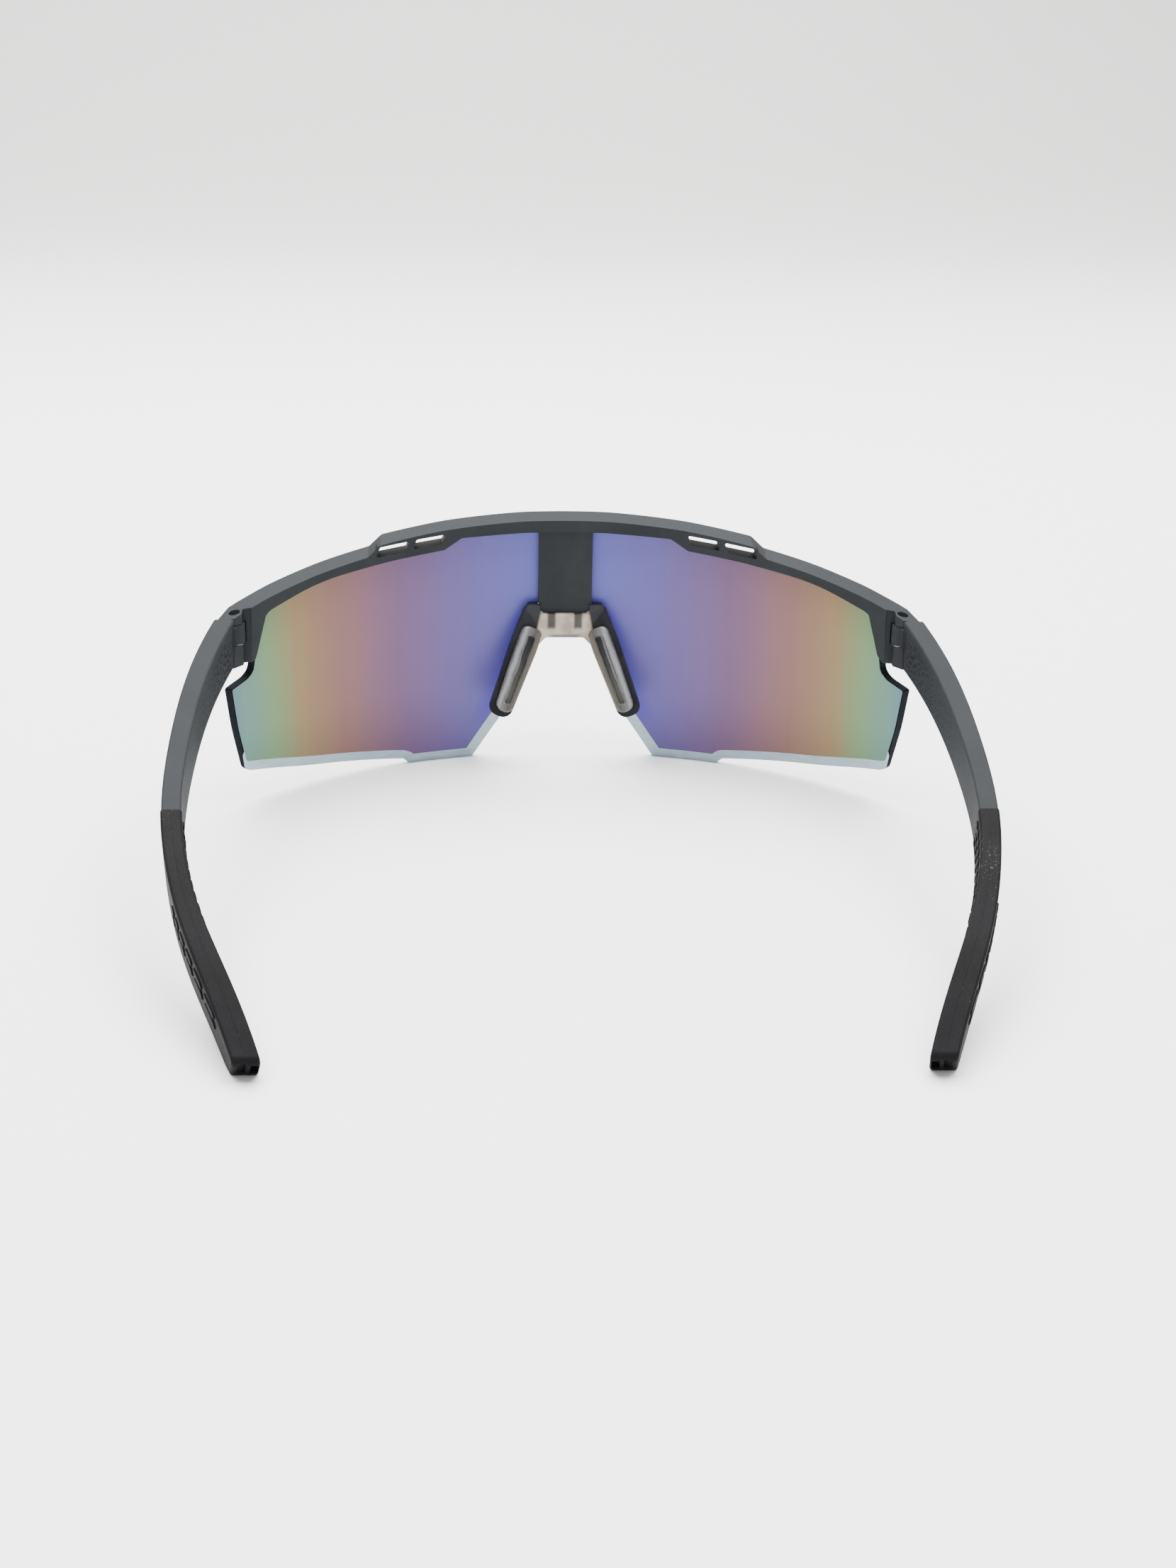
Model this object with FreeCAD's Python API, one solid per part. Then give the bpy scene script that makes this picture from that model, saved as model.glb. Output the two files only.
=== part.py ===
import FreeCAD, Part
import math
import os

Vector = FreeCAD.Vector

# Wraparound shield sunglasses, standing open on a table: front towards -Y, temple tips
# towards +Y, wearer's left towards +X, Z up. The table is Z = 0. All sizes in millimetres.

# ---- driving dimensions -------------------------------------------------------------
LENS_RADIUS = 88.0        # outer face of the one-piece shield, a round cylinder
LENS_THICK = 2.0
LENS_LEAN = 3.0           # degrees that the front leans back from vertical
FRONT_Y = -77.0           # the lens's foremost line, where it meets the table

BAR_PROUD = 0.9           # brow bar in front of the lens
BAR_DEPTH = 5.0           # brow bar, front to back
BAR_SLOPE = 10.0          # degrees that the bar's top falls towards the wearer
GROOVE_GAP = 0.05         # between the lens and its groove
SEAT_GAP = 0.05           # round the parts of the nose piece

PILLAR_HALF = 5.6         # pillar between the brow and the nose
PILLAR_BACK = 3.65        # its rear face, behind the lens's outer face
PILLAR_BOTTOM = 32.9
PILLAR_TOP = 52.0
PRONG_X = 2.7             # two prongs under the pillar hold the nose carrier
PRONG_HALF = 0.5
PRONG_FRONT = -72.5
PRONG_BACK = -71.6
PRONG_BOTTOM = 30.0
PRONG_TOP = 34.0

PIN_X = 66.0              # hinge pins, upright
PIN_Y = -41.9
PIN_Z = 41.9              # where a pin meets the arm's top line
ARM_FALL = 16.4           # degrees that the arms fall towards the table
END_REAR = 2.75           # rear of the frame's end piece, behind the pin
ARM_FRONT = 2.93          # front of the arm, behind the pin
ARM_HEIGHT = 10.2         # at the hinge
KNUCKLE_RADIUS = 2.0
KNUCKLE_ROOM = 2.3
KNUCKLE_TOP = 39.4        # heights above the table
KNUCKLE_BOTTOM = 35.6
KNUCKLE_GAP = 0.15
BRIDGE_INNER = 0.6        # bridge from the knuckle to the arm, either side of the pin
BRIDGE_OUTER = 1.1
FOLD_ROOM = 3.3           # swept round the pin by the bridge and the arm's inner corner
FOLD_REACH = 4.0          # past that sweep
CORNER_INNER = 1.5        # the arm's inner corner sweeps only past this, inwards of the pin
WASHER_THICK = 0.25
WASHER_RADIUS = 1.8
GRIP_START = 63.7
GRIP_PROUD = 0.15         # grip over the arm
CORE_START = 62.0         # the arm's core inside the grip
CORE_END = 108.0
CORE_INSET = 1.05
CORE_TOP = -1.7
CORE_BOTTOM = -6.8

SCREW_RADIUS = 0.75
SCREW_HEAD_RADIUS = 1.1
SCREW_HEAD_THICK = 0.6
SCREW_TOP = 40.6          # top of the sunk head
SCREW_BOTTOM = 32.8
SCREW_RUN = 0.03          # radial clearance of the knuckle and the end piece
RECESS_REACH = 0.75       # cross recess in the head
RECESS_HALF = 0.16
RECESS_DEPTH = 0.4
INSERT_RADIUS = 1.2
INSERT_BOTTOM = 32.4

LEG_TOP = Vector(5.5, -71.6, 34.3)      # middle line of the left nose leg
LEG_BOTTOM = Vector(13.9, -64.4, 12.7)
LEG_TWIST = 16.0          # degrees that a pad turns towards the nose
PAD_THICK = 1.7
PAD_INWARDS = 0.35        # a pad's middle line, inwards of its leg's
CARRIER_THICK = 1.1
CHANNEL_DEPTH = 0.9       # sunk channel along a pad

LEAN = math.radians(LENS_LEAN)
FALL = math.radians(ARM_FALL)
BEYOND = 80.0             # past any part of the frame


# ---- helpers ------------------------------------------------------------------------
def rounded_wire(points, place):
    """A closed outline of straight runs whose corners are arcs. points are (a, b, radius);
    place turns (a, b) into a point in space."""
    corners = []
    count = len(points)
    for i in range(count):
        a, b, radius = points[i]
        here = place(a, b)
        before = place(*points[i - 1][:2])
        after = place(*points[(i + 1) % count][:2])
        back = (before - here).normalize()
        on = (after - here).normalize()
        half = back.getAngle(on) / 2.0
        if radius <= 0:
            corners.append((here, None, here))
            continue
        reach = radius / math.tan(half)
        middle = (back + on).normalize() * (radius / math.sin(half) - radius)
        corners.append((here + back * reach, here + middle, here + on * reach))
    edges = []
    for i in range(count):
        start, middle, end = corners[i]
        if middle is not None:
            edges.append(Part.Arc(start, middle, end).toShape())
        following = corners[(i + 1) % count][0]
        if end.distanceToPoint(following) > 1e-6:
            edges.append(Part.LineSegment(end, following).toShape())
    return Part.Wire(Part.__sortEdges__(edges))


def prism(points, place, direction):
    return Part.Face(rounded_wire(points, place)).extrude(direction)


def mirrored(shape):
    return shape.mirror(Vector(0, 0, 0), Vector(1, 0, 0))


def both_sides(points):
    """Complete a right-hand half outline, given from the middle outwards and back."""
    other = [(-a, b, radius) for a, b, radius in reversed(points)]
    return points + other


def box(x0, x1, y0, y1, z0, z1):
    return Part.makeBox(x1 - x0, y1 - y0, z1 - z0, Vector(x0, y0, z0))


def front_y(x, z, offset):
    """Y of the lens's outer face moved forwards by offset."""
    radius = LENS_RADIUS + offset
    sag = radius - math.sqrt(radius * radius - x * x)
    return FRONT_Y - offset + sag + math.tan(LEAN) * z


def shell(front, back):
    """A round wall concentric with the lens, from front to back of its outer face."""
    axis = Vector(0, math.sin(LEAN), math.cos(LEAN))
    middle = Vector(0, FRONT_Y + LENS_RADIUS, 0)
    base = middle - axis * 30
    outer = Part.makeCylinder(LENS_RADIUS + front, 120, base, axis)
    inner = Part.makeCylinder(LENS_RADIUS - back, 120, base, axis)
    return outer.cut(inner)


def fillet_where(shape, radius, wanted):
    edges = [edge for edge in shape.Edges if wanted(edge)]
    return shape.makeFillet(radius, edges)


# ---- lens ---------------------------------------------------------------------------
# Half outlines seen from the front: (x, z, corner radius), from the middle outwards and back.
LENS_OUTLINE = [
    (7.0, 34.7, 1.5), (13.3, 9.2, 3.0), (19.6, 0.0, 1.2), (33.1, 0.0, 0.8), (34.3, 1.2, 0.6),
    (55.0, 4.0, 60.0), (66.3, 6.9, 2.2), (67.9, 17.0, 60.0), (68.7, 25.6, 0.5), (64.7, 27.4, 3.2),
    (63.7, 35.0, 0.0), (63.3, 39.2, 3.0), (57.0, 43.3, 12.0), (50.2, 45.1, 40.0),
    (42.0, 46.1, 20.0), (26.2, 48.1, 1.0), (22.4, 51.0, 1.0), (10.0, 51.9, 60.0),
]


def upright(x, z):
    return Vector(x, FRONT_Y - 10.0, z)


def lens_blank(gap):
    """The lens, or with a gap the room that its groove needs."""
    outline = prism(both_sides(LENS_OUTLINE), upright, Vector(0, 60, 0))
    if gap > 0:
        outline = outline.fuse(outline.translated(Vector(0, 0, gap)))
    return shell(gap, LENS_THICK + gap).common(outline)


# ---- brow frame ---------------------------------------------------------------------
BAR_TOP = [
    (9.0, 53.9, 120.0), (25.0, 52.8, 80.0), (38.1, 51.0, 1.0), (40.6, 48.8, 1.2),
    (50.5, 46.9, 60.0), (60.0, 44.4, 40.0), (67.0, 41.9, 20.0), (73.0, 39.0, 0.0),
]
BAR_UNDER = [
    (73.0, 30.4, 0.0), (62.4, 31.1, 0.8), (60.1, 40.4, 2.5), (50.2, 44.3, 40.0),
    (36.3, 46.4, 40.0), (25.2, 47.7, 1.0), (21.6, 50.0, 1.0), (8.0, 50.6, 60.0),
]
VENTS = [(28.3, 48.7, 50.7), (35.7, 47.8, 49.9)]      # middle x, floor and ceiling
VENT_HALF = 2.9
VENT_SLANT = 0.45
VENT_FALL = 0.3
HINGE_SIDE = [(64.5, -49.0), (67.2, -45.4), (70.0, -38.0), (80.0, -38.0), (80.0, -49.0)]


def falling(x, z):
    """Outline point of the bar's top: the outline is extruded down a slope to the rear."""
    slope = math.tan(math.radians(BAR_SLOPE))
    behind = front_y(x, z, BAR_PROUD) - FRONT_Y
    return Vector(x, FRONT_Y - 10.0, z + (behind + 10.0) * slope)


def below_bar_top():
    """Everything under the bar's sloping top face."""
    low = [(73.0, -BEYOND, 0.0)]
    slope = math.radians(BAR_SLOPE)
    direction = Vector(0, math.cos(slope), -math.sin(slope)) * 60
    return prism(both_sides(BAR_TOP + low), falling, direction)


def above_bar_under():
    high = [(73.0, BEYOND, 0.0)]
    return prism(both_sides(high + BAR_UNDER), upright, Vector(0, 60, 0))


def vent(middle, floor, ceiling):
    slot = [
        (middle - VENT_HALF + VENT_SLANT, floor + VENT_FALL, 0.3),
        (middle + VENT_HALF + VENT_SLANT, floor - VENT_FALL, 0.3),
        (middle + VENT_HALF - VENT_SLANT, ceiling - VENT_FALL, 0.3),
        (middle - VENT_HALF - VENT_SLANT, ceiling + VENT_FALL, 0.3),
    ]
    return prism(slot, upright, Vector(0, 60, 0))


def on_pin(radius, low, high):
    """A round bar on the left hinge pin between two heights."""
    return Part.makeCylinder(radius, high - low, Vector(PIN_X, PIN_Y, low))


def by_pin(inwards, outwards, ahead, behind, low, high):
    """A box round the left hinge pin, by its distances from the pin."""
    return box(PIN_X - inwards, PIN_X + outwards, PIN_Y - ahead, PIN_Y + behind, low, high)


def hinge_cuts():
    """What the left end piece leaves free for the knuckle, the arm, the screw and insert.
    The bridge sweeps a sector at its own height, and the arm's inner corner one at any height."""
    low = KNUCKLE_BOTTOM - KNUCKLE_GAP - WASHER_THICK
    high = KNUCKLE_TOP + KNUCKLE_GAP
    bridge_side = by_pin(FOLD_REACH, BRIDGE_OUTER + 0.3, BRIDGE_INNER + 0.3, FOLD_REACH, low, high)
    corner_side = by_pin(FOLD_REACH, -CORNER_INNER, BRIDGE_INNER + 0.3, FOLD_REACH, 0.0, BEYOND)
    return [
        on_pin(KNUCKLE_ROOM, low, high),
        on_pin(FOLD_ROOM, low, high).common(bridge_side),
        on_pin(FOLD_ROOM, 0.0, BEYOND).common(corner_side),
        on_pin(SCREW_RADIUS + SCREW_RUN, KNUCKLE_TOP, BEYOND),
        on_pin(SCREW_HEAD_RADIUS + 0.05, SCREW_TOP - SCREW_HEAD_THICK, BEYOND),
        on_pin(INSERT_RADIUS, INSERT_BOTTOM, low),
        by_pin(6.0, BEYOND, -END_REAR, 30.0, 0.0, BEYOND),
    ]


def pillar(gap):
    """The pillar, or with a gap the room that it needs."""
    half = PILLAR_HALF + gap
    outline = box(-half, half, FRONT_Y - 5, FRONT_Y + 15, PILLAR_BOTTOM - gap, PILLAR_TOP)
    return shell(gap - LENS_THICK - GROOVE_GAP, PILLAR_BACK + gap).common(outline)


def prong(side):
    x = side * PRONG_X
    return box(x - PRONG_HALF, x + PRONG_HALF, PRONG_FRONT, PRONG_BACK, PRONG_BOTTOM, PRONG_TOP)


def make_brow_frame():
    wall = shell(BAR_PROUD, BAR_DEPTH - BAR_PROUD)
    frame = wall.common(below_bar_top()).common(above_bar_under()).fuse(pillar(0.0))
    for middle, floor, ceiling in VENTS:
        slot = vent(middle, floor, ceiling)
        frame = frame.cut([slot, mirrored(slot)])
    frame = frame.cut(lens_blank(GROOVE_GAP)).fuse([prong(-1), prong(1)])
    corner = [Vector(x, y, 20.0) for x, y in HINGE_SIDE]
    side = Part.Face(Part.makePolygon(corner + corner[:1])).extrude(Vector(0, 0, 40))
    cuts = hinge_cuts() + [side]
    return frame.cut(cuts + [mirrored(cut) for cut in cuts])


# ---- nose piece ---------------------------------------------------------------------
SADDLE = [(6.3, 32.85, 0.3), (8.3, 29.2, 0.8), (6.2, 25.4, 0.5), (4.0, 27.8, 1.2)]
SADDLE_FRONT = -73.0
SADDLE_BACK = -70.7
SHOULDER = [(5.2, 32.0, 0.0), (9.0, 32.0, 0.0), (7.9, 34.9, 0.6), (5.2, 34.9, 0.2)]
LEG_LENGTH = (LEG_TOP - LEG_BOTTOM).Length
PAD_OUTLINE = [(1.8, 0.9 - LEG_LENGTH, 1.7), (2.3, -9.0, 25.0), (2.1, -4.6, 1.4)]
LEG_OUTLINE = [(2.45, -LEG_LENGTH - 0.3, 2.2), (3.0, -9.0, 25.0), (2.7, -0.4, 1.2)]
CHANNEL = [(0.7, 2.7 - LEG_LENGTH, 0.65), (0.9, -6.4, 0.8)]


def in_leg(shape):
    """Place a shape drawn flat (X across, Y to the rear, Z up from the leg's top) on the left leg."""
    up = (LEG_TOP - LEG_BOTTOM).normalize()
    across = (Vector(1, 0, 0) - up * up.x).normalize()
    rear = up.cross(across)
    twist = math.radians(LEG_TWIST)
    turned_across = across * math.cos(twist) + rear * math.sin(twist)
    turned_rear = rear * math.cos(twist) - across * math.sin(twist)
    matrix = FreeCAD.Matrix(
        turned_across.x, turned_rear.x, up.x, LEG_TOP.x,
        turned_across.y, turned_rear.y, up.y, LEG_TOP.y,
        turned_across.z, turned_rear.z, up.z, LEG_TOP.z,
        0, 0, 0, 1)
    return shape.transformGeometry(matrix)


def leg_prism(outline, front, back):
    def place(x, z):
        return Vector(x, front, z)

    return prism(both_sides(outline), place, Vector(0, back - front, 0))


def make_nose_pad():
    pad = leg_prism(PAD_OUTLINE, 0.0, PAD_THICK)
    pad = fillet_where(pad, 0.6, lambda edge: edge.BoundBox.YMin > PAD_THICK - 0.01)
    channel = leg_prism(CHANNEL, PAD_THICK - CHANNEL_DEPTH, PAD_THICK + 1.0)
    pad = pad.cut(channel).translated(Vector(-PAD_INWARDS, 0, 0))
    return in_leg(pad).cut(pillar(SEAT_GAP))


def saddle_front(x, z):
    return Vector(x, SADDLE_FRONT, z)


def make_nose_carrier():
    depth = Vector(0, SADDLE_BACK - SADDLE_FRONT, 0)
    saddle = prism(both_sides(SADDLE), saddle_front, depth)
    shoulder = prism(SHOULDER, saddle_front, depth)
    leg = in_leg(leg_prism(LEG_OUTLINE, -CARRIER_THICK, 0.0))
    carrier = saddle.fuse([shoulder, mirrored(shoulder), leg, mirrored(leg)])
    pad = make_nose_pad()
    taken = [prong(-1), prong(1), pillar(SEAT_GAP), lens_blank(SEAT_GAP), pad, mirrored(pad)]
    return carrier.cut(taken).removeSplitter()


# ---- arms and grips -----------------------------------------------------------------
# The left arm is drawn level, with the pin at Y = 0 and its top line at Z = 0, and then
# turned down onto the table. Its sides seen from above are (x, distance behind the pin).
ARM_OUTER = [(69.9, 3.0), (72.9, 19.0), (74.3, 42.0), (73.5, 63.7), (71.0, 78.8),
             (67.1, 93.6), (62.1, 107.5), (55.2, 126.5)]
ARM_INNER = [(65.5, 3.0), (68.6, 19.0), (70.3, 42.0), (69.7, 63.7), (67.2, 78.8),
             (62.8, 93.6), (57.4, 107.5), (50.8, 126.5)]
HOOK_START = 104.5        # where the top line starts to bend down
TIP = (123.5, -3.1)
FLAT_REAR = 120.9         # the grip's flat on the table
FLAT_FRONT = 118.0
GRIP_DEPTH = 8.3
END_TILT = 27.0           # degrees that the end face leans
END_HEADING = 22.0        # degrees that the tip turns inwards
END_MIDDLE = Vector(54.0, 122.4, -5.6)
POCKET_X = 0.95           # two sunk panels, either side of the end face's middle
POCKET_HALF = 0.65
POCKET_TALL = 1.7
POCKET_DEPTH = 0.9


def turned(shape):
    shape = shape.copy()
    shape.rotate(Vector(0, 0, 0), Vector(1, 0, 0), -ARM_FALL)
    shape.translate(Vector(0, PIN_Y, PIN_Z))
    return shape


def table(distance):
    """Height of the table under the level arm, at a distance behind the pin."""
    return (distance * math.sin(FALL) - PIN_Z) / math.cos(FALL)


def side_line(points, inset):
    curve = Part.BSplineCurve()
    curve.interpolate([Vector(x + inset, y, -20.0) for x, y in points])
    return curve.toShape()


def arm_band(inset):
    """The arm's thickness seen from above, set in from both sides."""
    outer = side_line(ARM_OUTER, -inset)
    inner = side_line(ARM_INNER, inset)
    ends = []
    for i in (0, -1):
        start = Vector(ARM_OUTER[i][0] - inset, ARM_OUTER[i][1], -20.0)
        end = Vector(ARM_INNER[i][0] + inset, ARM_INNER[i][1], -20.0)
        ends.append(Part.LineSegment(start, end).toShape())
    wire = Part.Wire(Part.__sortEdges__([outer, ends[1], inner, ends[0]]))
    return Part.Face(wire).extrude(Vector(0, 0, 30))


def beside(y, z):
    return Vector(40, y, z)


def from_side(points, inset):
    outline = prism(points, beside, Vector(40, 0, 0))
    return arm_band(inset).common(outline)


def long_edges(edge):
    return edge.Length > 20.0


def grip_edges(edge):
    """The edges round the grip's two sides, apart from those of its open end."""
    reach = edge.BoundBox
    crosswise = reach.XLength > 3.0 and reach.YLength < 2.2
    return not crosswise and reach.YMax > GRIP_START + 0.01


def make_core():
    return arm_band(CORE_INSET).common(box(40, 80, CORE_START, CORE_END, CORE_BOTTOM, CORE_TOP))


def make_temple():
    low = GRIP_PROUD - GRIP_DEPTH
    start = ARM_OUTER[0][1]
    profile = [(start, -0.1, 0.0), (GRIP_START, -0.1, 0.0), (GRIP_START, low, 0.0),
               (start, -ARM_HEIGHT, 0.0)]
    arm = turned(fillet_where(from_side(profile, GRIP_PROUD), 0.5, long_edges).fuse(make_core()))
    arm = arm.cut(by_pin(10.0, 10.0, 10.0, ARM_FRONT, 0.0, BEYOND))
    knuckle = on_pin(KNUCKLE_RADIUS, KNUCKLE_BOTTOM, KNUCKLE_TOP)
    bridge = by_pin(BRIDGE_INNER, BRIDGE_OUTER, 0.0, ARM_FRONT + 1.0, KNUCKLE_BOTTOM, KNUCKLE_TOP)
    arm = arm.fuse([knuckle, bridge])
    return arm.cut(on_pin(SCREW_RADIUS + SCREW_RUN, 0.0, BEYOND)).removeSplitter()


def end_pocket(side):
    """One of the two sunk panels in the grip's end face."""
    x = side * POCKET_X
    pocket = box(x - POCKET_HALF, x + POCKET_HALF, -POCKET_DEPTH, 3.0, -POCKET_TALL, POCKET_TALL)
    pocket.rotate(Vector(0, 0, 0), Vector(1, 0, 0), -END_TILT)
    pocket.rotate(Vector(0, 0, 0), Vector(0, 0, 1), END_HEADING)
    pocket.translate(END_MIDDLE)
    return pocket


def make_grip():
    profile = [(GRIP_START, 0.05, 0.0), (HOOK_START, 0.05, 120.0), TIP + (1.2,),
               (FLAT_REAR, table(FLAT_REAR), 1.0), (FLAT_FRONT, table(FLAT_FRONT), 2.0),
               (GRIP_START, -GRIP_DEPTH, 0.0)]
    grip = fillet_where(from_side(profile, 0.0), 0.6, grip_edges)
    grip = grip.cut([make_core(), end_pocket(-1), end_pocket(1)])
    return turned(grip)


# ---- hinge hardware -----------------------------------------------------------------
def make_screw():
    head_low = SCREW_TOP - SCREW_HEAD_THICK
    screw = on_pin(SCREW_HEAD_RADIUS, head_low, SCREW_TOP)
    screw = screw.fuse(on_pin(SCREW_RADIUS, SCREW_BOTTOM, head_low))
    for wide, deep in ((RECESS_REACH, RECESS_HALF), (RECESS_HALF, RECESS_REACH)):
        screw = screw.cut(by_pin(wide, wide, deep, deep, SCREW_TOP - RECESS_DEPTH, BEYOND))
    return screw.removeSplitter()


def make_insert():
    top = KNUCKLE_BOTTOM - KNUCKLE_GAP - WASHER_THICK
    return on_pin(INSERT_RADIUS, INSERT_BOTTOM, top).cut(on_pin(SCREW_RADIUS, 0.0, BEYOND))


def make_washer():
    top = KNUCKLE_BOTTOM - KNUCKLE_GAP
    washer = on_pin(WASHER_RADIUS, top - WASHER_THICK, top)
    return washer.cut(on_pin(SCREW_RADIUS + SCREW_RUN, 0.0, BEYOND))


# ---- export -------------------------------------------------------------------------
def export(name, shape):
    shape.exportStep("parts/" + name + ".step")


os.makedirs("parts", exist_ok=True)
export("brow_frame", make_brow_frame())
export("shield_lens", lens_blank(0.0))
export("nose_carrier", make_nose_carrier())
PAIRS = {
    "nose_pad": make_nose_pad,
    "temple": make_temple,
    "grip": make_grip,
    "hinge_screw": make_screw,
    "hinge_insert": make_insert,
    "hinge_washer": make_washer,
}
for pair_name, make in PAIRS.items():
    left = make()
    export(pair_name + "_left", left)
    export(pair_name + "_right", mirrored(left))
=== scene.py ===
import math

import bmesh
import bpy
from mathutils import Matrix, Vector
from mathutils.bvhtree import BVHTree


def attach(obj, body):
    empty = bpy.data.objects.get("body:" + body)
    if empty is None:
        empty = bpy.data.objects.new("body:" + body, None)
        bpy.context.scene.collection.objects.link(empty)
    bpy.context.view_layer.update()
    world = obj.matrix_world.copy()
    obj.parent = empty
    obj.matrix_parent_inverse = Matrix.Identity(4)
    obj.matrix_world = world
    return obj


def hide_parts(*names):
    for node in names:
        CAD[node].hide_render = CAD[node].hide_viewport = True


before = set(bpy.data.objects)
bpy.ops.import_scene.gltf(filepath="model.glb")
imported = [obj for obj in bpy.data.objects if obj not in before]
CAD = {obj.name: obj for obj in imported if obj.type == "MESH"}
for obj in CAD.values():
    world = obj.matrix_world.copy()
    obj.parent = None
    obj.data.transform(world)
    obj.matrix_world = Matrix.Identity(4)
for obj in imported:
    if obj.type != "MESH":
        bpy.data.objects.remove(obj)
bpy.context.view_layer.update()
MM = 0.001

# ---- dimensions shared with the part, in millimetres ----------------------------------
LENS_RADIUS = 88.0
LENS_THICK = 2.0
LENS_LEAN = math.radians(3.0)
FRONT_Y = -77.0
PIN_Y = -41.9
PIN_Z = 41.9
ARM_FALL = math.radians(16.4)
GRIP_START = 63.7
LEG_TOP = (5.5, -71.6, 34.3)              # top of a nose leg's middle line
LEG_UP = (-0.3461, -0.2967, 0.8900)       # along it
LEG_ACROSS = (0.9018, 0.1563, 0.4028)     # outwards, across the turned pad

LENS_OUTLINE = [
    (7.0, 34.7, 1.5), (13.3, 9.2, 3.0), (19.6, 0.0, 1.2), (33.1, 0.0, 0.8), (34.3, 1.2, 0.6),
    (55.0, 4.0, 60.0), (66.3, 6.9, 2.2), (67.9, 17.0, 60.0), (68.7, 25.6, 0.5), (64.7, 27.4, 3.2),
    (63.7, 35.0, 0.0), (63.3, 39.2, 3.0), (57.0, 43.3, 12.0), (50.2, 45.1, 40.0),
    (42.0, 46.1, 20.0), (26.2, 48.1, 1.0), (22.4, 51.0, 1.0), (10.0, 51.9, 60.0),
]
BOTTOM_BEVEL = 2.3        # bevel on the lens's inner lower edge, seen from behind
BOTTOM_BEVEL_DEPTH = 1.0
BOTTOM_HEIGHT = 9.5       # sides of the outline below this have that bevel
NOSE_HALF = 15.0          # except those nearer to the middle than this
EDGE_BREAK = 0.15         # small bevel along the other edges
SIDE_SPACING = 3.0        # between points along the outline's sides
SLICE = 2.0               # between the upright cuts that let the lens bend
CORNER_STEPS = 8

# Details of the grips, by distance behind the pin and height over the arm's top line.
INNER_CELLS_START = GRIP_START + 2.2
INNER_CELLS_END = 92.0
INNER_ROWS = (-2.0, -3.9, -5.8)
INNER_TALL = 1.25
OUTER_CELLS_START = 87.0
OUTER_CELLS_END = 112.0
OUTER_ROWS = ((-2.3, 1.3), (-4.4, 1.7))     # height, how tall a cell is
LINE_START = GRIP_START + 0.6
LINE_LENGTH = 121.0 - GRIP_START
LINE_STEPS = 110
LINE_HALF = 0.07
LINE_PROUD = 0.025
TIP_SLOPE = 0.12                            # how fast the rows turn down towards the tip
CELL_RINGS = [(1.0, -0.25), (1.0, 0.35), (0.93, 0.75), (0.8, 0.97), (0.55, 1.0)]   # share, lift
CELL_SIDES = 20

# ---- view, in metres and degrees ------------------------------------------------------
CAMERA_PLACE = (0.0192, 0.3872, 0.1675)
CAMERA_PITCH = 20.65
CAMERA_YAW = 3.09
CAMERA_ROLL = 1.05
SENSOR = 36.0
FOCAL_SHARE = 3192.0 / 2212.0     # focal length over the picture's long side
TABLE_HALF = 2.0
TABLE_NEAR = 1.6
SWEEP_START = 0.9                 # the table turns up this far behind the glasses
SWEEP_RADIUS = 0.7
SWEEP_STEPS = 16
WALL_TOP = 2.4


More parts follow.
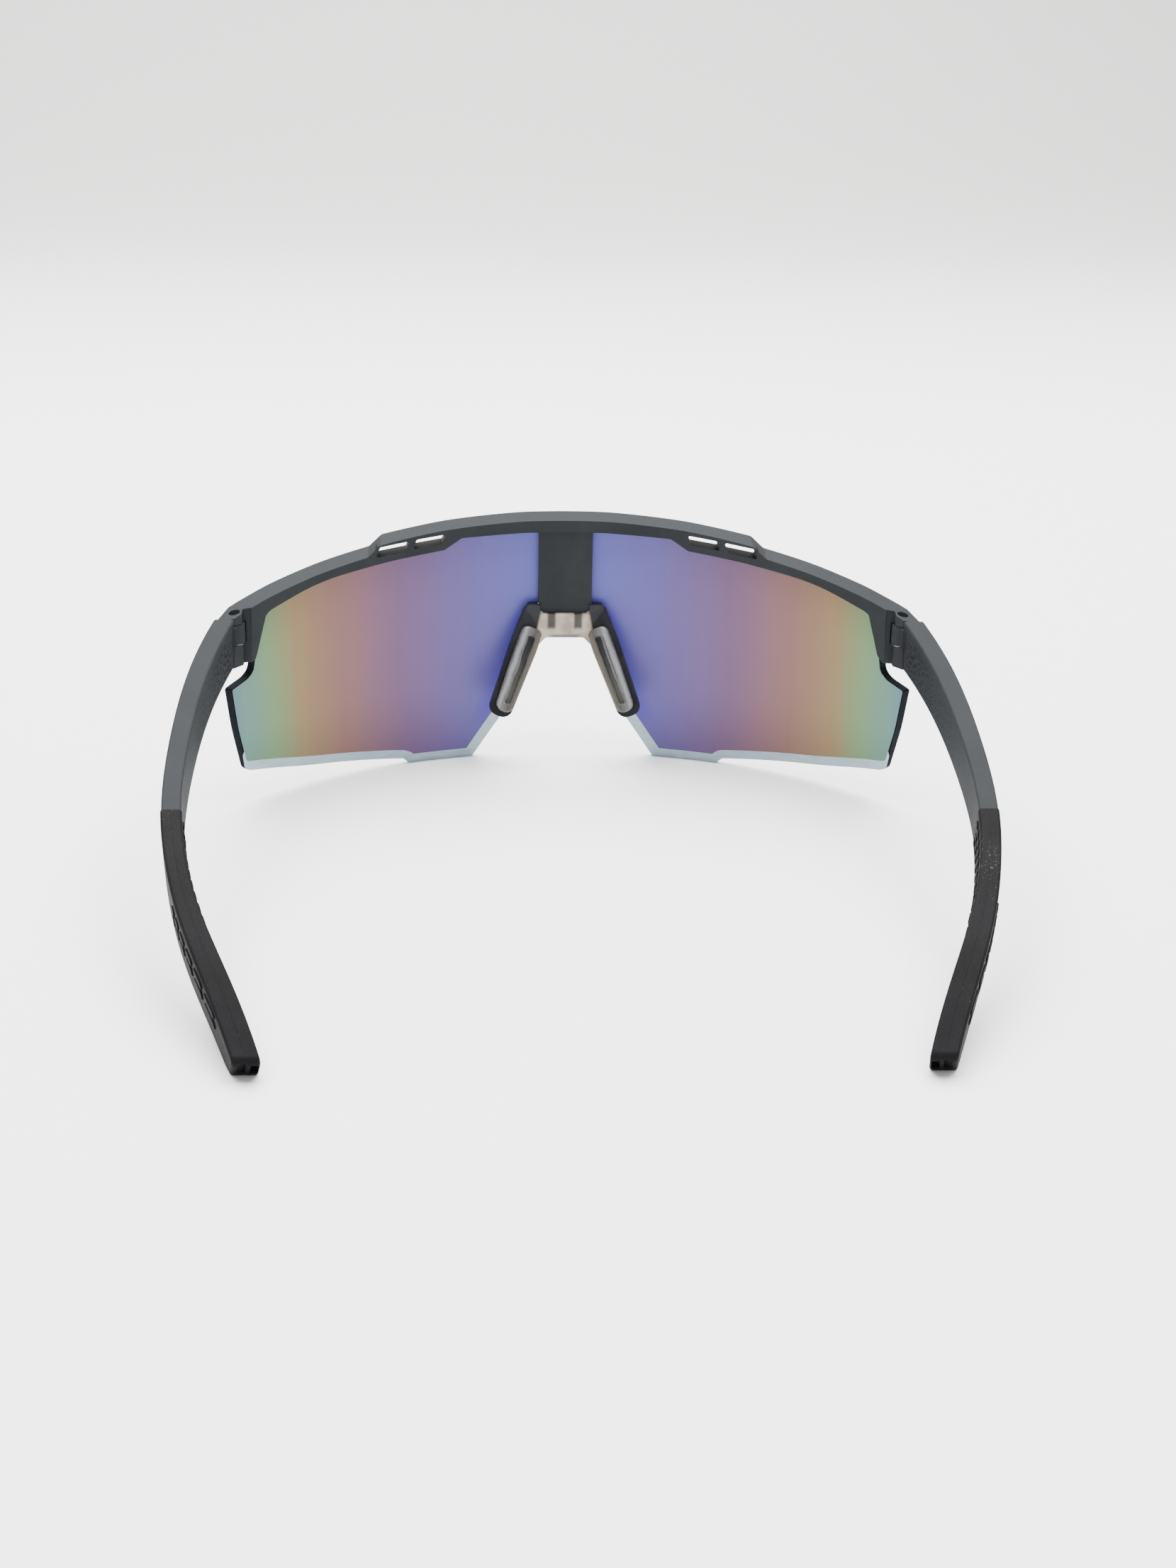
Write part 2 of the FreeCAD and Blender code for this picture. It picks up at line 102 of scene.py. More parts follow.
# ---- material helpers -----------------------------------------------------------------
class Nodes:
    """Shorthand for building one material's node tree."""

    def __init__(self, name):
        self.mat = bpy.data.materials.new(name)
        self.mat.use_nodes = True
        self.tree = self.mat.node_tree
        self.shader = self.tree.nodes["Principled BSDF"]
        self.coords = self.add("ShaderNodeTexCoord").outputs["Object"]

    def add(self, kind, **values):
        node = self.tree.nodes.new(kind)
        for key, value in values.items():
            setattr(node, key, value)
        return node

    def link(self, source, target):
        self.tree.links.new(source, target)

    def feed(self, socket, value):
        if isinstance(value, bpy.types.NodeSocket):
            self.link(value, socket)
        else:
            socket.default_value = value

    def math(self, operation, a, b=0.0, c=0.0):
        node = self.add("ShaderNodeMath", operation=operation)
        for socket, value in zip(node.inputs, (a, b, c)):
            self.feed(socket, value)
        return node.outputs[0]

    def split(self, vector):
        """The X, Y and Z parts of a vector."""
        node = self.add("ShaderNodeSeparateXYZ")
        self.link(vector, node.inputs[0])
        return node.outputs

    def scaled(self, factors):
        """Coordinates multiplied axis by axis."""
        node = self.add("ShaderNodeMapping")
        self.link(self.coords, node.inputs["Vector"])
        node.inputs["Scale"].default_value = factors
        return node.outputs[0]

    def noise(self, scale, detail=3.0, roughness=0.5, source=None):
        node = self.add("ShaderNodeTexNoise")
        self.link(source or self.coords, node.inputs["Vector"])
        node.inputs["Scale"].default_value = scale
        node.inputs["Detail"].default_value = detail
        node.inputs["Roughness"].default_value = roughness
        return node.outputs["Fac"]

    def ramp(self, fac, stops):
        node = self.add("ShaderNodeValToRGB")
        elements = node.color_ramp.elements
        while len(elements) < len(stops):
            elements.new(0.5)
        for element, (position, colour) in zip(elements, stops):
            element.position = position
            element.color = colour if len(colour) == 4 else (*colour, 1.0)
        self.link(fac, node.inputs["Fac"])
        return node.outputs["Color"]

    def mix(self, fac, a, b, blend="MIX"):
        node = self.add("ShaderNodeMix", data_type="RGBA", blend_type=blend)
        self.feed(node.inputs["Factor"], fac)
        for socket, value in ((node.inputs[6], a), (node.inputs[7], b)):
            self.feed(socket, value)
        return node.outputs[2]

    def between(self, value, low, high, to_low=0.0, to_high=1.0, smooth=True):
        node = self.add("ShaderNodeMapRange")
        node.interpolation_type = "SMOOTHSTEP" if smooth else "LINEAR"
        self.feed(node.inputs["Value"], value)
        node.inputs["From Min"].default_value = low
        node.inputs["From Max"].default_value = high
        node.inputs["To Min"].default_value = to_low
        node.inputs["To Max"].default_value = to_high
        return node.outputs[0]

    def bump(self, height, strength, distance, under=None):
        node = self.add("ShaderNodeBump")
        node.inputs["Strength"].default_value = strength
        node.inputs["Distance"].default_value = distance
        self.link(height, node.inputs["Height"])
        if under is not None:
            self.link(under, node.inputs["Normal"])
        return node.outputs["Normal"]

    def colour(self, value):
        self.feed(self.shader.inputs["Base Color"], value)

    def set(self, **values):
        for key, value in values.items():
            self.feed(self.shader.inputs[key.replace("_", " ")], value)


def srgb(r, g, b):
    """Linear colour from the usual 0 to 255 scale."""
    out = []
    for part in (r, g, b):
        part /= 255.0
        out.append(part / 12.92 if part <= 0.04045 else ((part + 0.055) / 1.055) ** 2.4)
    return (*out, 1.0)


# ---- materials ------------------------------------------------------------------------
def arm_axes(n):
    """Distance behind the pin and height over the arm's top line, in metres, in the arm's own frame."""
    split = n.split(n.coords)
    back = n.math("SUBTRACT", split["Y"], PIN_Y * MM)
    up = n.math("SUBTRACT", split["Z"], PIN_Z * MM)
    sin, cos = math.sin(ARM_FALL), math.cos(ARM_FALL)
    along = n.math("SUBTRACT", n.math("MULTIPLY", back, cos), n.math("MULTIPLY", up, sin))
    height = n.math("ADD", n.math("MULTIPLY", back, sin), n.math("MULTIPLY", up, cos))
    return along, height, split["X"]


def matt_plastic(name, dark, light, grain=5200.0):
    n = Nodes(name)
    cloudy = n.noise(55.0, 4.0, 0.6)
    fine = n.noise(grain, 2.0, 0.6)
    n.colour(n.mix(n.between(cloudy, 0.3, 0.7), dark, light))
    rough = n.math("ADD", n.between(fine, 0.25, 0.75, 0.0, 0.16), n.between(cloudy, 0.3, 0.7, 0.5, 0.58))
    n.set(Roughness=rough, Normal=n.bump(fine, 0.28, 0.00006))
    n.set(Specular_IOR_Level=0.05, IOR=1.49)
    return n


def make_frame_plastic():
    """The matt plastic, with painted shade on the floors of the vent slots."""
    n = matt_plastic("frame_matt_grey", srgb(36, 38, 40), srgb(42, 44, 46))
    place = n.split(n.coords)
    across = n.math("ABSOLUTE", place["X"])
    normal = n.split(n.add("ShaderNodeNewGeometry").outputs["Normal"])
    slot = n.math("MULTIPLY", n.between(across, 0.0246, 0.0250), n.between(across, 0.0393, 0.0389))
    shaded_vent_floor = n.math("MULTIPLY", n.between(normal["Z"], 0.4, 0.7), n.between(place["Z"], 0.0499, 0.0495))
    base = n.shader.inputs["Base Color"].links[0].from_socket
    # Painted shade: the floors of the vent slots are darkened to near black.
    n.colour(n.mix(n.math("MULTIPLY", slot, shaded_vent_floor), base, srgb(10, 10, 11)))
    return n.mat


def make_arm_plastic():
    """The frame's plastic, with a fading field of small moulded dots on the arm's inner side."""
    n = matt_plastic("arm_matt_grey", srgb(36, 38, 40), srgb(42, 44, 46))
    along, height, across = arm_axes(n)
    place = n.add("ShaderNodeCombineXYZ")
    n.link(along, place.inputs[0])
    n.link(height, place.inputs[1])
    cells = n.add("ShaderNodeTexVoronoi", feature="F1", voronoi_dimensions="2D")
    cells.inputs["Scale"].default_value = 900.0
    cells.inputs["Randomness"].default_value = 0.55
    n.link(place.outputs[0], cells.inputs["Vector"])
    size = n.between(along, 0.008, 0.052, 0.36, 0.05, smooth=False)
    dot = n.math("SUBTRACT", size, cells.outputs["Distance"])
    dot = n.between(dot, 0.0, 0.12)
    fade = n.math("MULTIPLY", n.between(along, 0.0055, 0.008), n.between(along, 0.058, 0.045))
    normal = n.add("ShaderNodeNewGeometry").outputs["Normal"]
    side = n.math("MULTIPLY", n.split(normal)["X"], n.math("SIGN", across))
    inner = n.between(side, -0.3, -0.7)
    edge = n.math("MULTIPLY", n.between(height, -0.0012, -0.0022), n.between(height, -0.0096, -0.0082))
    mask = n.math("MULTIPLY", n.math("MULTIPLY", dot, fade), n.math("MULTIPLY", inner, edge))
    under = n.shader.inputs["Normal"].links[0].from_socket
    n.set(Normal=n.bump(n.math("SUBTRACT", 1.0, mask), 0.5, 0.00016, under))
    base = n.shader.inputs["Base Color"].links[0].from_socket
    n.colour(n.mix(n.math("MULTIPLY", mask, 0.8), base, srgb(14, 15, 17)))
    return n.mat


def leg_axes(n):
    """Distance out from the middle line of a nose leg and height against its top, in millimetres."""
    split = n.split(n.coords)
    x = n.math("MULTIPLY_ADD", n.math("ABSOLUTE", split["X"]), 1.0 / MM, -LEG_TOP[0])
    y = n.math("MULTIPLY_ADD", split["Y"], 1.0 / MM, -LEG_TOP[1])
    z = n.math("MULTIPLY_ADD", split["Z"], 1.0 / MM, -LEG_TOP[2])

    def along(direction):
        part = n.math("MULTIPLY", x, direction[0])
        part = n.math("MULTIPLY_ADD", y, direction[1], part)
        return n.math("MULTIPLY_ADD", z, direction[2], part)

    return along(LEG_ACROSS), along(LEG_UP)


def make_rubber():
    n = Nodes("grip_soft_rubber")
    fine = n.noise(4200.0, 3.0, 0.65)
    dust = n.math("ADD", n.noise(1900.0, 4.0, 0.8), n.between(n.noise(45.0, 2.0), 0.45, 0.7, -0.06, 0.03))
    cloudy = n.noise(90.0, 3.0, 0.5)
    base = n.mix(n.between(cloudy, 0.3, 0.7), srgb(16, 16, 17), srgb(20, 20, 21))
    specks = n.between(dust, 0.61, 0.68)
    n.colour(n.mix(n.math("MULTIPLY", specks, 0.35), base, srgb(112, 112, 112)))
    n.set(Roughness=n.between(fine, 0.3, 0.7, 0.5, 0.68), Normal=n.bump(fine, 0.35, 0.00008))
    n.set(Specular_IOR_Level=0.035)
    return n.mat


# The coating's run of colours, by share of the way from the middle to the side.
LENS_STOPS = [
    (0.10, (79, 80, 146)),       # blue violet
    (0.30, (86, 76, 130)),       # violet
    (0.50, (98, 73, 103)),       # mauve
    (0.68, (118, 86, 80)),       # rose
    (0.80, (124, 104, 73)),      # gold
    (0.88, (97, 125, 88)),       # green
    (0.95, (87, 119, 110)),      # teal
    (1.00, (84, 103, 120)),      # slate
]


def lens_colours(n, shift, gain):
    """The coating's colours from the middle out to the sides, with faint upright bands."""
    split = n.split(n.coords)
    out = n.math("MULTIPLY", n.math("ABSOLUTE", split["X"]), 1.0 / 0.0687)
    bands = n.noise(1.0, 3.0, 0.6, n.scaled((420.0, 0.0, 6.0)))
    drift = n.noise(1.0, 2.0, 0.5, n.scaled((30.0, 0.0, 30.0)))
    out = n.math("ADD", out, n.between(bands, 0.3, 0.7, -0.012, 0.012, smooth=False))
    out = n.math("ADD", out, n.between(drift, 0.2, 0.8, -0.02 + shift, 0.02 + shift, smooth=False))
    stops = []
    for position, colour in LENS_STOPS:
        linear = srgb(*colour)
        grey = sum(linear[:3]) / 3.0
        stops.append((position, tuple(max(0.0, grey + (c - grey) * gain) for c in linear[:3])))
    return n.ramp(out, stops), split


def make_lens_rear():
    n = Nodes("lens_rear_coating")
    colours, split = lens_colours(n, 0.0, 1.0)
    across = n.math("ABSOLUTE", split["X"])
    # How far a point is outside the sloping line of a nose leg, from (0.008, 0.034) to (0.0165, 0.011).
    leg = n.math("SUBTRACT", across, n.math("MULTIPLY_ADD", split["Z"], -0.37, 0.0206))
    near = n.between(leg, 0.0036, 0.0, 0.0, 1.0)
    low = n.math("MULTIPLY", n.between(split["Z"], 0.037, 0.030), n.between(split["Z"], 0.006, 0.012))
    near = n.math("MULTIPLY", near, low)
    shade = n.between(split["Z"], 0.003, 0.018, 0.84, 1.0)
    colours = n.mix(1.0, colours, shade, "MULTIPLY")
    # Painted glow: a deeper blue violet beside the lower part of the nose legs.
    n.colour(n.mix(n.math("MULTIPLY", near, 0.5), colours, srgb(58, 46, 148)))
    n.set(Roughness=n.between(n.noise(300.0), 0.3, 0.7, 0.3, 0.36), Metallic=0.1)
    n.set(Normal=n.bump(n.noise(60.0, 2.0), 0.02, 0.0002))
    n.set(Specular_IOR_Level=0.15)
    return n.mat


def make_lens_front():
    n = Nodes("lens_front_mirror")
    colours, _ = lens_colours(n, 0.05, 1.8)
    n.colour(colours)
    n.set(Roughness=n.between(n.noise(240.0), 0.3, 0.7, 0.06, 0.1), Metallic=0.85)
    n.set(Normal=n.bump(n.noise(50.0, 2.0), 0.015, 0.0002))
    return n.mat


def make_lens_bevel():
    n = Nodes("lens_bevel_painted_reflection")
    streaks = n.noise(1.0, 3.0, 0.6, n.scaled((300.0, 300.0, 1500.0)))
    # Painted reflection: the pale blue grey stands for the white table reflected in the downward-facing
    # bevel.
    n.colour(n.mix(n.between(streaks, 0.3, 0.7), srgb(136, 156, 167), srgb(154, 173, 182)))
    n.set(Roughness=n.between(streaks, 0.3, 0.7, 0.28, 0.4), Normal=n.bump(streaks, 0.1, 0.00005))
    n.set(Transmission_Weight=0.15, IOR=1.58)
    return n.mat


def make_lens_edge():
    n = Nodes("lens_cut_edge")
    streaks = n.noise(1.0, 3.0, 0.6, n.scaled((200.0, 200.0, 2500.0)))
    n.colour(n.mix(n.between(streaks, 0.3, 0.7), srgb(11, 14, 18), srgb(18, 22, 27)))
    n.set(Roughness=n.between(streaks, 0.3, 0.7, 0.3, 0.42), Normal=n.bump(streaks, 0.02, 0.00005))
    n.set(Specular_IOR_Level=0.01)
    return n.mat


def make_carrier():
    """Cloudy clear plastic over two dark pegs in the middle, with dark moulded legs and shoulders, and a
    painted shadow along the lower edge of the clear part in the middle.
    """
    n = Nodes("nose_carrier_plastic")
    split = n.split(n.coords)
    across, height = n.math("ABSOLUTE", split["X"]), split["Z"]
    edge = n.math("MULTIPLY_ADD", height, -0.22, 0.0122)
    clear = n.between(n.math("SUBTRACT", across, edge), 0.0005, -0.0003)
    clear = n.math("MULTIPLY", clear, n.between(height, 0.0250, 0.0256))
    cloudy = n.noise(260.0, 3.0)
    pale = n.mix(n.between(cloudy, 0.3, 0.7), srgb(138, 127, 114), srgb(186, 173, 158))
    beside_peg = n.math("ABSOLUTE", n.math("SUBTRACT", across, 0.0028))
    peg = n.math("MULTIPLY", n.between(beside_peg, 0.0013, 0.0005), n.between(height, 0.0291, 0.0302))
    # Painted shadow: a darker band along the lower edge of the clear part, near the middle.
    rim = n.math("MULTIPLY", n.between(across, 0.0040, 0.0022), n.between(height, 0.0288, 0.0281))
    pale = n.mix(n.math("MULTIPLY", peg, 0.92), pale, srgb(30, 29, 28))
    pale = n.mix(n.math("MULTIPLY", rim, 0.85), pale, srgb(78, 82, 88))
    dark = n.mix(n.between(cloudy, 0.3, 0.7), srgb(19, 20, 23), srgb(29, 30, 33))
    n.colour(n.mix(clear, dark, pale))
    n.set(Roughness=n.between(cloudy, 0.3, 0.7, 0.16, 0.26))
    n.set(Normal=n.bump(n.noise(700.0, 3.0), 0.04, 0.0001))
    n.set(Transmission_Weight=n.math("MULTIPLY", clear, 0.25), IOR=1.49, Specular_IOR_Level=0.15)
    return n.mat


def make_pad():
    """Clear silicone over a dark leg: a light outer rim, partly painted highlight, a brownish inner one
    and a dark channel with a painted highlight streak.
    """
    n = Nodes("nose_pad_silicone")
    out, up = leg_axes(n)
    cloudy = n.noise(320.0, 3.0)
    out = n.math("ADD", out, n.between(cloudy, 0.3, 0.7, -0.15, 0.15))
    # The light band near the outer edge is the clear silicone, partly a painted highlight.
    rim = n.ramp(n.between(out, -2.8, 2.2, smooth=False), [
        (0.00, srgb(56, 55, 53)), (0.14, srgb(90, 83, 75)), (0.36, srgb(70, 67, 64)),
        (0.66, srgb(96, 95, 94)), (0.80, srgb(132, 131, 131)), (0.92, srgb(98, 98, 100)),
        (1.00, srgb(56, 57, 60)),
    ])
    channel = n.mix(n.between(up, -8.0, -20.0), srgb(38, 39, 41), srgb(76, 75, 72))
    # Painted highlight: a light streak down the middle of the channel.
    channel_highlight = n.between(n.math("ABSOLUTE", n.math("SUBTRACT", out, 0.1)), 0.3, 0.1)
    channel = n.mix(n.math("MULTIPLY", channel_highlight, 0.45), channel, srgb(150, 152, 156))
    inside = n.between(n.math("ABSOLUTE", n.math("ADD", out, 0.35)), 0.95, 0.7)
    inside = n.math("MULTIPLY", inside, n.between(up, -5.9, -6.9))
    inside = n.math("MULTIPLY", inside, n.between(up, -22.2, -21.0))
    n.colour(n.mix(inside, rim, channel))
    n.set(Roughness=n.between(cloudy, 0.3, 0.7, 0.16, 0.3))
    n.set(Normal=n.bump(n.noise(900.0, 3.0), 0.03, 0.0001))
    n.set(Transmission_Weight=0.15, IOR=1.41, Specular_IOR_Level=0.3)
    return n.mat


def make_steel(name, dark, light, metallic=1.0):
    n = Nodes(name)
    turned = n.noise(1.0, 3.0, 0.6, n.scaled((6000.0, 6000.0, 600.0)))
    n.colour(n.mix(n.between(turned, 0.3, 0.7), dark, light))
    n.set(Roughness=n.between(turned, 0.3, 0.7, 0.28, 0.42), Metallic=metallic)
    n.set(Normal=n.bump(turned, 0.15, 0.00003))
    return n.mat


def make_floor():
    n = Nodes("pale_tabletop")
    fine = n.noise(140.0, 5.0, 0.6)
    wide = n.noise(1.6, 2.0, 0.5)
    tone = n.mix(n.between(wide, 0.3, 0.7), (0.88, 0.88, 0.875, 1.0), (0.91, 0.91, 0.905, 1.0))
    # Painted shade: the table and its sweep darken with distance behind the glasses.
    far_painted_shade = n.between(n.split(n.coords)["Y"], -0.35, -1.15)
    n.colour(n.mix(far_painted_shade, tone, (0.5, 0.5, 0.485, 1.0)))
    n.set(Roughness=n.between(fine, 0.3, 0.7, 0.5, 0.62), Normal=n.bump(fine, 0.03, 0.0004))
    n.set(Specular_IOR_Level=0.3)
    return n.mat


FRAME_PLASTIC = make_frame_plastic()
ARM_PLASTIC = make_arm_plastic()
RUBBER = make_rubber()
CARRIER = make_carrier()
PAD = make_pad()
STEEL = make_steel("screw_dark_steel", srgb(70, 70, 72), srgb(120, 120, 122))
BRASS = make_steel("insert_brass_turned", srgb(150, 118, 62), srgb(190, 156, 92))


# ---- mesh helpers ---------------------------------------------------------------------
def new_object(name, mesh, body, materials):
    obj = bpy.data.objects.new(name, mesh)
    bpy.context.scene.collection.objects.link(obj)
    for material in materials:
        mesh.materials.append(material)
    for polygon in mesh.polygons:
        polygon.use_smooth = True
    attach(obj, body)
    return obj


def soften(obj, width, segments=3, angle=32.0):
    """Rounds the hard edges and evens out the shading."""
    bevel = obj.modifiers.new("bevel", "BEVEL")
    bevel.width = width * MM
    bevel.segments = segments
    bevel.limit_method = "ANGLE"
    bevel.angle_limit = math.radians(angle)
    bevel.miter_outer = "MITER_ARC"
    normals = obj.modifiers.new("normals", "WEIGHTED_NORMAL")
    normals.keep_sharp = True
    normals.weight = 60


def dressed(node, name, body, material, width):
    """A finished copy of a CAD node with rounded edges, shown in its place."""
    mesh = CAD[node].data.copy()
    mesh.materials.clear()
    work = bmesh.new()
    work.from_mesh(mesh)
    bmesh.ops.remove_doubles(work, verts=work.verts, dist=0.000002)
    bmesh.ops.dissolve_limit(work, angle_limit=math.radians(0.6), verts=work.verts, edges=work.edges)
    bmesh.ops.recalc_face_normals(work, faces=work.faces)
    work.to_mesh(mesh)
    work.free()
    obj = new_object(name, mesh, body, [material])
    if width > 0:
        soften(obj, width)
    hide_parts(node)
    return obj


# ---- lens -----------------------------------------------------------------------------
def lens_point(x, depth, z):
    """A point of the lens, from the flat outline and the depth behind its outer face, in metres.
    The cut edge is square to the lens at the sides, and runs straight back near the middle."""
    radius = LENS_RADIUS - depth
    side = min(1.0, max(0.0, (abs(x) - 30.0) / 25.0))
    x -= side * depth * x / LENS_RADIUS
    y = FRONT_Y + LENS_RADIUS + z * math.tan(LENS_LEAN)
    y -= math.sqrt(radius * radius - x * x) / math.cos(LENS_LEAN)
    return Vector((x, y, z)) * MM


def lens_radial(point):
    """Outward direction at a point, square to the lens's axis."""
    axis = Vector((0, math.sin(LENS_LEAN), math.cos(LENS_LEAN)))
    arm = point / MM - Vector((0, FRONT_Y + LENS_RADIUS, 0))
    return (arm - axis * arm.dot(axis)).normalized()


def inset_corners(corners, amounts):
    """Corners of a closed outline after each side has moved inwards by its own amount."""
    count = len(corners)
    points = [Vector(corner[:2]) for corner in corners]
    area = sum(points[i].cross(points[(i + 1) % count]) for i in range(count))
    turn = 1.0 if area > 0 else -1.0
    directions = [(points[(i + 1) % count] - points[i]).normalized() for i in range(count)]
    moved = []
    for i in range(count):
        before, after = directions[i - 1], directions[i]
        inwards_before = Vector((-before.y, before.x)) * turn
        inwards_after = Vector((-after.y, after.x)) * turn
        bend = before.cross(after)
        if abs(bend) < 0.02:
            shift = inwards_after * amounts[i]
        else:
            # Where the two moved sides cross.
            gap = inwards_after * amounts[i] - inwards_before * amounts[i - 1]
            shift = inwards_before * amounts[i - 1] + before * (gap.cross(after) / bend)
        convex = bend * turn > 0
        radius = corners[i][2]
        if radius > 0:
            change = (amounts[i] + amounts[i - 1]) / 2
            radius = max(0.25, radius - change) if convex else radius + change
        moved.append((*(points[i] + shift), radius))
    return moved


def rounded(corners, parts):
    """The outline as points: an arc of CORNER_STEPS pieces at each corner, each side in its own parts."""
    count = len(corners)
    starts, arcs = [], []
    for i, (x, z, radius) in enumerate(corners):
        here = Vector((x, z))
        back = (Vector(corners[i - 1][:2]) - here).normalized()
        on = (Vector(corners[(i + 1) % count][:2]) - here).normalized()
        half = back.angle(on) / 2.0
        reach = max(radius, 0.02) / math.tan(half)
        start, end = here + back * reach, here + on * reach
        centre = here + (back + on).normalized() * (max(radius, 0.02) / math.sin(half))
        arc = []
        for k in range(CORNER_STEPS + 1):
            chord = start.lerp(end, k / CORNER_STEPS) - centre
            arc.append(centre + chord.normalized() * max(radius, 0.02))
        arcs.append(arc)
        starts.append(start)
    outline = []
    for i, arc in enumerate(arcs):
        outline += arc[:-1]
        following = starts[(i + 1) % count]
        outline += [arc[-1].lerp(following, k / parts[i]) for k in range(parts[i])]
    return outline


def bevel_amounts(corners):
    """How far each side of the outline moves in on the rear face: wide along the lower edge."""
    amounts = []
    for i, corner in enumerate(corners):
        following = corners[(i + 1) % len(corners)]
        low = max(corner[1], following[1]) < BOTTOM_HEIGHT and abs(corner[0] - following[0]) > 1.0
        outside = max(abs(corner[0]), abs(following[0])) > NOSE_HALF
        amounts.append(BOTTOM_BEVEL if low and outside else EDGE_BREAK)
    return amounts


def make_lens():
    corners = LENS_OUTLINE + [(-x, z, r) for x, z, r in reversed(LENS_OUTLINE)]
    amounts = bevel_amounts(corners)
    following = corners[1:] + corners[:1]
    lengths = [(Vector(b[:2]) - Vector(a[:2])).length for a, b in zip(corners, following)]
    parts = [max(1, round(length / SIDE_SPACING)) for length in lengths]
    outline = rounded(corners, parts)
    front = rounded(inset_corners(corners, [EDGE_BREAK] * len(corners)), parts)
    rear = rounded(inset_corners(corners, amounts), parts)
    widths = [(a - b).length for a, b in zip(outline, rear)]
    depths = [LENS_THICK - min(BOTTOM_BEVEL_DEPTH, w * BOTTOM_BEVEL_DEPTH / BOTTOM_BEVEL) for w in widths]
    work = bmesh.new()
    rings = [
        [work.verts.new((p.x, 0.0, p.y)) for p in front],
        [work.verts.new((p.x, EDGE_BREAK, p.y)) for p in outline],
        [work.verts.new((p.x, d, p.y)) for p, d in zip(outline, depths)],
        [work.verts.new((p.x, LENS_THICK, p.y)) for p in rear],
    ]
    count = len(outline)
    for ring, material in ((rings[0], 0), (rings[3], 1)):
        face = work.faces.new(ring)
        face.material_index = material
    for level in range(3):
        for i in range(count):
            j = (i + 1) % count
            quad = (rings[level][i], rings[level][j], rings[level + 1][j], rings[level + 1][i])
            face = work.faces.new(quad)
            wide = widths[i] > 0.9 and widths[j] > 0.9
            face.material_index = 3 if level == 2 and wide else 2
    bmesh.ops.triangulate(work, faces=[f for f in work.faces if len(f.verts) > 4])
    for step in range(-34, 35):
        geometry = work.verts[:] + work.edges[:] + work.faces[:]
        place = (step * SLICE, 0, 0)
        bmesh.ops.bisect_plane(work, geom=geometry, dist=1e-4, plane_co=place, plane_no=(1, 0, 0))
    for vert in work.verts:
        vert.co = lens_point(vert.co.x, vert.co.y, vert.co.z)
    bmesh.ops.remove_doubles(work, verts=work.verts, dist=1e-7)
    bmesh.ops.recalc_face_normals(work, faces=work.faces)
    mesh = bpy.data.meshes.new("shield_lens_shown")
    work.to_mesh(mesh)
    work.free()
    materials = [make_lens_front(), make_lens_rear(), make_lens_edge(), make_lens_bevel()]
    obj = new_object("shield_lens_shown", mesh, "front", materials)
    normals = []
    for polygon in mesh.polygons:
        for index in polygon.vertices:
            outward = lens_radial(mesh.vertices[index].co)
            if polygon.material_index == 0:
                normals.append(outward)
            elif polygon.material_index == 1:
                normals.append(-outward)
            else:
                normals.append(polygon.normal)
    mesh.normals_split_custom_set(normals)
    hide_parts("shield_lens")


make_lens()


# ---- pieces shown as softened copies of the part --------------------------------------
dressed("brow_frame", "brow_frame_shown", "front", FRAME_PLASTIC, 0.3)
dressed("nose_carrier", "nose_carrier_shown", "front", CARRIER, 0.12)
for side in ("left", "right"):
    arm = "arm_" + side
    pad = dressed("nose_pad_" + side, "nose_pad_shown_" + side, "front", PAD, 0.15)
    dressed("temple_" + side, "temple_shown_" + side, arm, ARM_PLASTIC, 0.12)
    dressed("grip_" + side, "grip_shown_" + side, arm, RUBBER, 0.12)
    dressed("hinge_screw_" + side, "hinge_screw_shown_" + side, "front", STEEL, 0.05)
    dressed("hinge_washer_" + side, "hinge_washer_shown_" + side, "front", STEEL, 0.03)
    dressed("hinge_insert_" + side, "hinge_insert_shown_" + side, "front", BRASS, 0.05)


# ---- moulded details on the grips -----------------------------------------------------
def arm_to_world(x, along, height):
    """A point of an arm, from its place across, behind the pin and over the arm's top line."""
    sin, cos = math.sin(ARM_FALL), math.cos(ARM_FALL)
    y = PIN_Y + along * cos + height * sin
    z = PIN_Z - along * sin + height * cos
    return Vector((x, y, z)) * MM


def surface_tree(node):
    work = bmesh.new()
    work.from_mesh(CAD[node].data)
    tree = BVHTree.FromBMesh(work)
    work.free()
    return tree


def add_cell(work, place, normal, forward, length, height, proud):
    """A raised rounded pad on a surface: a flattened superellipse with a soft rim."""
    across = normal.cross(forward).normalized()
    forward = across.cross(normal).normalized()
    rings = []
    for share, lift in CELL_RINGS:
        ring = []
        for k in range(CELL_SIDES):
            angle = 2 * math.pi * k / CELL_SIDES
            c, s = math.cos(angle), math.sin(angle)
            u = math.copysign(abs(c) ** 0.65, c) * (length / 2 - (1 - share) * height / 2)
            v = math.copysign(abs(s) ** 0.65, s) * height / 2 * share
            point = place + (forward * u + across * v + normal * proud * lift) * MM
            ring.append(work.verts.new(point))
        rings.append(ring)
    for a, b in zip(rings, rings[1:]):
        for k in range(CELL_SIDES):
            j = (k + 1) % CELL_SIDES
            work.faces.new((a[k], a[j], b[j], b[k]))
    work.faces.new(rings[-1])
    work.faces.new(list(reversed(rings[0])))


def finish_rubber(work, name, body):
    bmesh.ops.recalc_face_normals(work, faces=work.faces)
    mesh = bpy.data.meshes.new(name)
    work.to_mesh(mesh)
    work.free()
    new_object(name, mesh, body, [RUBBER])


